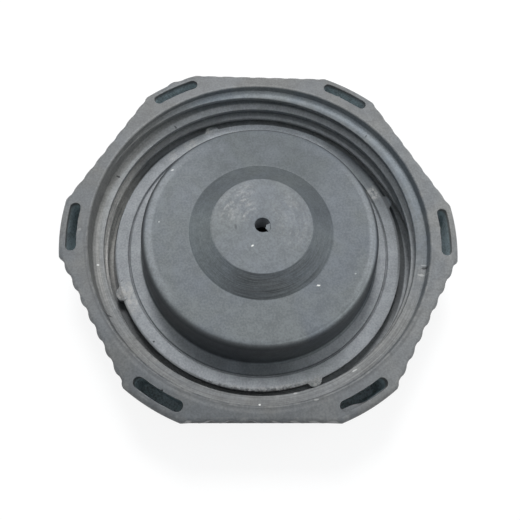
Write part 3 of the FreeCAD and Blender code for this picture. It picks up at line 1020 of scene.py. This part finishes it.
def bloom_and_light_on_rubber(skin, cone, upper):
    """Grey bloom on the flange, the boss's rounded edge and the cone's top, partly painted light and
    highlights, and pale patches, a painted glint and scuffs.
    """
    # bloom, and painted light: the far flange is paler where the lamps leave it in shade, and the boss's
    # rounded edge has painted highlights at the left and right
    bloom_and_painted_light = skin.stretches((180.0, 80.0, 25.9, 28.2, 0.3, 0.85), (335.0, 65.0, 26.2, 28.2, 0.3, 0.9),
                           (215.0, 120.0, 28.2, 31.6, 0.2, 0.9), (335.0, 60.0, 28.2, 31.6, 0.2, 0.85),
                           (140.0, 50.0, 28.2, 31.6, 0.2, 0.7), (90.0, 50.0, 28.2, 31.6, 0.2, 1.0),
                           (175.0, 55.0, 22.2, 23.6, 0.6, 0.35), (0.0, 50.0, 22.4, 23.7, 0.6, 0.42),
                           (180.0, 400.0, 0.0, cone[0], 0.1, 0.06))
    cloud = speckle(skin.tree, skin.point, per_mm=0.22, detail=4.0, roughness=0.6, distortion=0.5)
    cloud = ramp(skin.tree, cloud, 0.2, 0.8, to_low=0.7, to_high=1.0)
    skin.lay((0.355, 0.37, 0.39), bloom_and_painted_light, cloud, upper)
    # the vent is lighter inside
    skin.lay((0.26, 0.27, 0.29), skin.by_radius(1.9, 1.7), skin.by_height(17.8, 17.5))
    # pale patches, and a painted glint on the flange beside the boss at the right
    patches = skin.stretches((203.5, 9.0, 28.8, 32.4, 0.8, 0.9), (122.5, 4.0, 29.0, 31.0, 0.5, 0.55),
                             (132.5, 3.0, 29.0, 31.0, 0.5, 0.5), (27.0, 4.0, 28.4, 30.5, 1.0, 0.9),
                             (275.0, 24.0, 30.5, 31.8, 0.4, 0.8), (111.1, 5.0, 30.7, 32.6, 0.5, 0.9),
                             (291.1, 4.0, 30.9, 32.4, 0.4, 0.7))
    brushed = skin.stretches((140.0, 48.0, 3.0, 9.8, 2.0, 0.5), (10.0, 70.0, 3.0, 9.8, 2.0, 0.25))
    marked = skin.strongest(patches, skin.times(brushed, skin.lines(0.6)))
    broken = skin.patchy(0.35, 0.68, per_mm=0.8, detail=5.0, roughness=0.7, distortion=1.5)
    skin.lay((0.46, 0.45, 0.43), marked, broken, upper)
    # painted light on the far flange
    skin.shade((1.6, 1.6, 1.6), skin.stretches((88.0, 45.0, 28.7, 31.6, 0.4, 0.9)))


def paint_shade_on_rubber(skin, painted_shade_colour):
    """Painted shade in the groove, along the boss's foot, round its upper edge and on the flange's front
    edge.
    """
    # painted shade in the groove, in the crease at the boss's foot, and along the flange's edge beside the
    # gap
    painted_shade_lines = skin.stretches((180.0, 400.0, 28.1, 28.6, 0.25, 0.3), (180.0, 400.0, 25.3, 25.75, 0.4, 0.35),
                          (238.0, 75.0, 30.95, 31.7, 0.25, 0.5), (12.0, 38.0, 30.8, 31.7, 0.4, 0.6))
    skin.lay(painted_shade_colour, painted_shade_lines, skin.by_height(8.0, 7.0))
    skin.add_grain(dark=0.82, pale=1.14)
    # painted shade: a ragged dark strip on the flange's torn front edge, beside the gap
    fringe = skin.stretches((266.0, 30.0, 30.75, 31.7, 0.5, 1.0))
    ragged = skin.patchy(0.42, 0.58, per_mm=1.6, detail=4.0, roughness=0.6)
    skin.lay(painted_shade_colour, fringe, ragged, 0.75)
    # painted shade round the boss's upper rounded edge
    edge = skin.stretches((120.0, 170.0, 23.9, 24.6, 0.5, 0.5), (255.0, 45.0, 23.6, 24.6, 0.5, 0.55))
    skin.lay(painted_shade_colour, edge, skin.by_height(13.5, 14.5))


def rubber_material(finish, s):
    """Faded black rubber: a soft bloom with painted light, highlights and a glint, painted shade, turning
    lines on the cone's flank, scuffs on its top, and lint.
    """
    skin = Surface("moulded_rubber", finish.rubber, mottle=((0.92, 0.95, 1.01), (1.05, 1.06, 1.04)),
                   grain_size=0.4, specular=0.35)
    # the radii of the cone's top and foot
    cone = ((s.cone_radius - s.cone_run) / MM, s.cone_radius / MM)
    # the insert's underside stays plain
    upper = skin.by_height(3.7, 5.0)
    flank = shade_rubber(skin, cone, (s.top - s.cone_height) / MM)
    turned, streak = turn_flank(skin, cone, flank)
    bloom_and_light_on_rubber(skin, cone, upper)
    # painted shade in the groove, at the boss's foot and edge, and along the flange's edge
    paint_shade_on_rubber(skin, (0.03, 0.032, 0.035))
    dark = skin.marks((*at(30.5, 224.5), 20.0, 0.3, 0.22, 0.9), (-5.2, -0.6, 100.0, 0.7, 0.3, 0.45),
                      (*at(30.6, 196.0), 60.0, 0.5, 0.15, 0.5), (*at(30.9, 204.0), 45.0, 0.5, 0.15, 0.5))
    pale = skin.marks((*at(23.1, 144.5), 10.0, 0.42, 0.16, 1.0), (*at(20.9, 176.0), 80.0, 0.2, 0.16, 0.5),
                      (*at(16.3, 314.0), 10.0, 0.4, 0.2, 1.0), (*at(21.0, 334.0), 30.0, 0.22, 0.16, 0.4),
                      (*at(4.83, 247.6), 45.0, 0.34, 0.2, 1.0))
    skin.lay((0.03, 0.031, 0.034), dark, upper)
    skin.lay(finish.lint, pale, upper)
    plain = ramp(skin.tree, skin.grain["Mottle"], 0.0, 1.0, to_low=0.55, to_high=0.66)
    roughness = calc(skin.tree, "SUBTRACT", plain, skin.times(turned, 0.1))
    relief = calc(skin.tree, "ADD", skin.grain["Height"], skin.times(turned, streak, 0.8))
    return skin.finish(roughness, relief, strength=0.6, depth=0.035)


def seen_directly(tree):
    """One on the rays that reach the camera straight or by a reflection, and zero on those that light."""
    rays = put(tree, "ShaderNodeLightPath").outputs
    return calc(tree, "MAXIMUM", rays["Is Camera Ray"], rays["Is Glossy Ray"])


def add_table():
    """The plain pale table that the cap lies on."""
    bpy.ops.mesh.primitive_plane_add(size=4.0, location=(0.0, 0.0, 0.0))
    table = bpy.context.object
    table.name = "table"
    material = bpy.data.materials.new("white_table")
    material.use_nodes = True
    tree = material.node_tree
    shader = tree.nodes["Principled BSDF"]
    shader.inputs["Roughness"].default_value = 0.9
    # part of the table's white comes only to the camera and to reflections, the rest from the lamps
    seen = seen_directly(tree)
    tree.links.new(blend(tree, seen, (0.7, 0.7, 0.7), (0.15, 0.15, 0.15)), shader.inputs["Base Color"])
    strength = calc(tree, "MULTIPLY", seen, 0.85)
    glow = put(tree, "ShaderNodeEmission", (1.0, 1.0, 1.0, 1.0), strength).outputs[0]
    both = put(tree, "ShaderNodeAddShader", shader.outputs[0], glow).outputs[0]
    tree.links.new(both, tree.nodes["Material Output"].inputs["Surface"])
    table.data.materials.append(material)


def set_world(strength):
    """The room's pale light, which the camera and reflections see as plain white."""
    world = bpy.context.scene.world or bpy.data.worlds.new("studio")
    bpy.context.scene.world = world
    world.use_nodes = True
    tree = world.node_tree
    background = tree.nodes["Background"]
    seen = seen_directly(tree)
    # the light is strongest overhead, and weakest from the near side, where the photographer stood
    sky = put(tree, "ShaderNodeSeparateXYZ", put(tree, "ShaderNodeTexCoord").outputs["Generated"]).outputs
    overhead = ramp(tree, sky[2], 0.55, 0.9, to_low=0.6)
    far_side = ramp(tree, sky[1], -0.8, -0.3, to_low=0.2)
    room = calc(tree, "MULTIPLY", calc(tree, "MULTIPLY", overhead, far_side), strength)
    tree.links.new(calc(tree, "MAXIMUM", room, seen), background.inputs["Strength"])
    tree.links.new(blend(tree, seen, (0.92, 0.97, 1.0), (1.0, 1.0, 1.0)), background.inputs["Color"])


def add_light(name, azimuth, elevation, size, power):
    """A square lamp that faces the cap, its place given in degrees."""
    away = 0.6
    data = bpy.data.lights.new(name, "AREA")
    data.size = size
    data.energy = power
    lamp = bpy.data.objects.new(name, data)
    tilt = Matrix.Rotation(math.radians(90.0 - elevation), 4, "X")
    turn = Matrix.Rotation(math.radians(azimuth + 90.0), 4, "Z")
    lamp.matrix_world = turn @ tilt @ Matrix.Translation((0.0, 0.0, away))
    lamp.visible_camera = False
    bpy.context.scene.collection.objects.link(lamp)


def add_camera(s):
    """The camera, at the photograph's distance, angle and lens."""
    data = bpy.data.cameras.new("camera")
    data.lens = s.lens
    data.sensor_width = 36.0
    data.clip_start = 0.005
    camera = bpy.data.objects.new("camera", data)
    tilt = Matrix.Rotation(math.pi / 2.0 - s.elevation, 4, "X")
    turn = Matrix.Rotation(s.azimuth, 4, "Z")
    roll = Matrix.Rotation(s.roll, 4, "Z")
    back = Matrix.Translation((0.0, 0.0, s.distance))
    camera.matrix_world = Matrix.Translation(s.aim) @ turn @ tilt @ roll @ back
    bpy.context.scene.collection.objects.link(camera)
    bpy.context.scene.camera = camera


def build_stage(s):
    """The table, the world, the lamps and the camera."""
    add_table()
    set_world(s.room)
    add_light("key_lamp", azimuth=96.0, elevation=59.0, size=0.14, power=s.key)
    add_light("right_lamp", azimuth=15.0, elevation=36.0, size=0.3, power=s.right)
    add_camera(s)


class FUELCAP_OT_shell(bpy.types.Operator):
    """Build the moulded shell with its ribs, slots and thread"""

    bl_idname = "fuelcap.shell"
    bl_label = "Moulded Shell"

    def execute(self, context):
        scene = context.scene
        material = plastic_material(scene.fuelcap_finish)
        build_shell(scene.fuelcap_shell, scene.fuelcap_thread, scene.fuelcap_insert.floor, material)
        return {"FINISHED"}


class FUELCAP_OT_insert(bpy.types.Operator):
    """Build the rubber insert with its flange, boss, raised cone and vent"""

    bl_idname = "fuelcap.insert"
    bl_label = "Rubber Insert"

    def execute(self, context):
        scene = context.scene
        material = rubber_material(scene.fuelcap_finish, scene.fuelcap_insert)
        build_insert(scene.fuelcap_insert, material)
        return {"FINISHED"}


class FUELCAP_OT_stage(bpy.types.Operator):
    """Build the table, the lamps and the camera"""

    bl_idname = "fuelcap.stage"
    bl_label = "Stage"

    def execute(self, context):
        build_stage(context.scene.fuelcap_stage)
        return {"FINISHED"}


class FUELCAP_PT_sidebar(bpy.types.Panel):
    """The cap's sizes, colours and build buttons"""

    bl_idname = "FUELCAP_PT_sidebar"
    bl_label = "Fuel Cap"
    bl_space_type = "VIEW_3D"
    bl_region_type = "UI"
    bl_category = "Fuel Cap"

    def draw(self, context):
        for name, operator in (("fuelcap_shell", "fuelcap.shell"), ("fuelcap_thread", None),
                               ("fuelcap_insert", "fuelcap.insert"), ("fuelcap_finish", None),
                               ("fuelcap_stage", "fuelcap.stage")):
            settings = getattr(context.scene, name)
            box = self.layout.box()
            for key in settings.__annotations__:
                box.prop(settings, key)
            if operator:
                box.operator(operator)


SETTINGS = {
    "fuelcap_shell": ShellSettings,
    "fuelcap_thread": ThreadSettings,
    "fuelcap_insert": InsertSettings,
    "fuelcap_stage": StageSettings,
    "fuelcap_finish": FinishSettings,
}
CLASSES = (*SETTINGS.values(), FUELCAP_OT_shell, FUELCAP_OT_insert, FUELCAP_OT_stage, FUELCAP_PT_sidebar)


def register():
    for cls in CLASSES:
        bpy.utils.register_class(cls)
    for name, cls in SETTINGS.items():
        setattr(bpy.types.Scene, name, PointerProperty(type=cls))


def unregister():
    for name in SETTINGS:
        delattr(bpy.types.Scene, name)
    for cls in reversed(CLASSES):
        bpy.utils.unregister_class(cls)


def main():
    """Registers the classes and builds everything."""
    register()
    for make_group in (place_group, grain_group, turning_group, sector_group, mark_group):
        make_group()
    bpy.ops.fuelcap.shell()
    bpy.ops.fuelcap.insert()
    bpy.ops.fuelcap.stage()
    bpy.context.scene.view_settings.view_transform = "Standard"


if __name__ == "__main__":
    main()
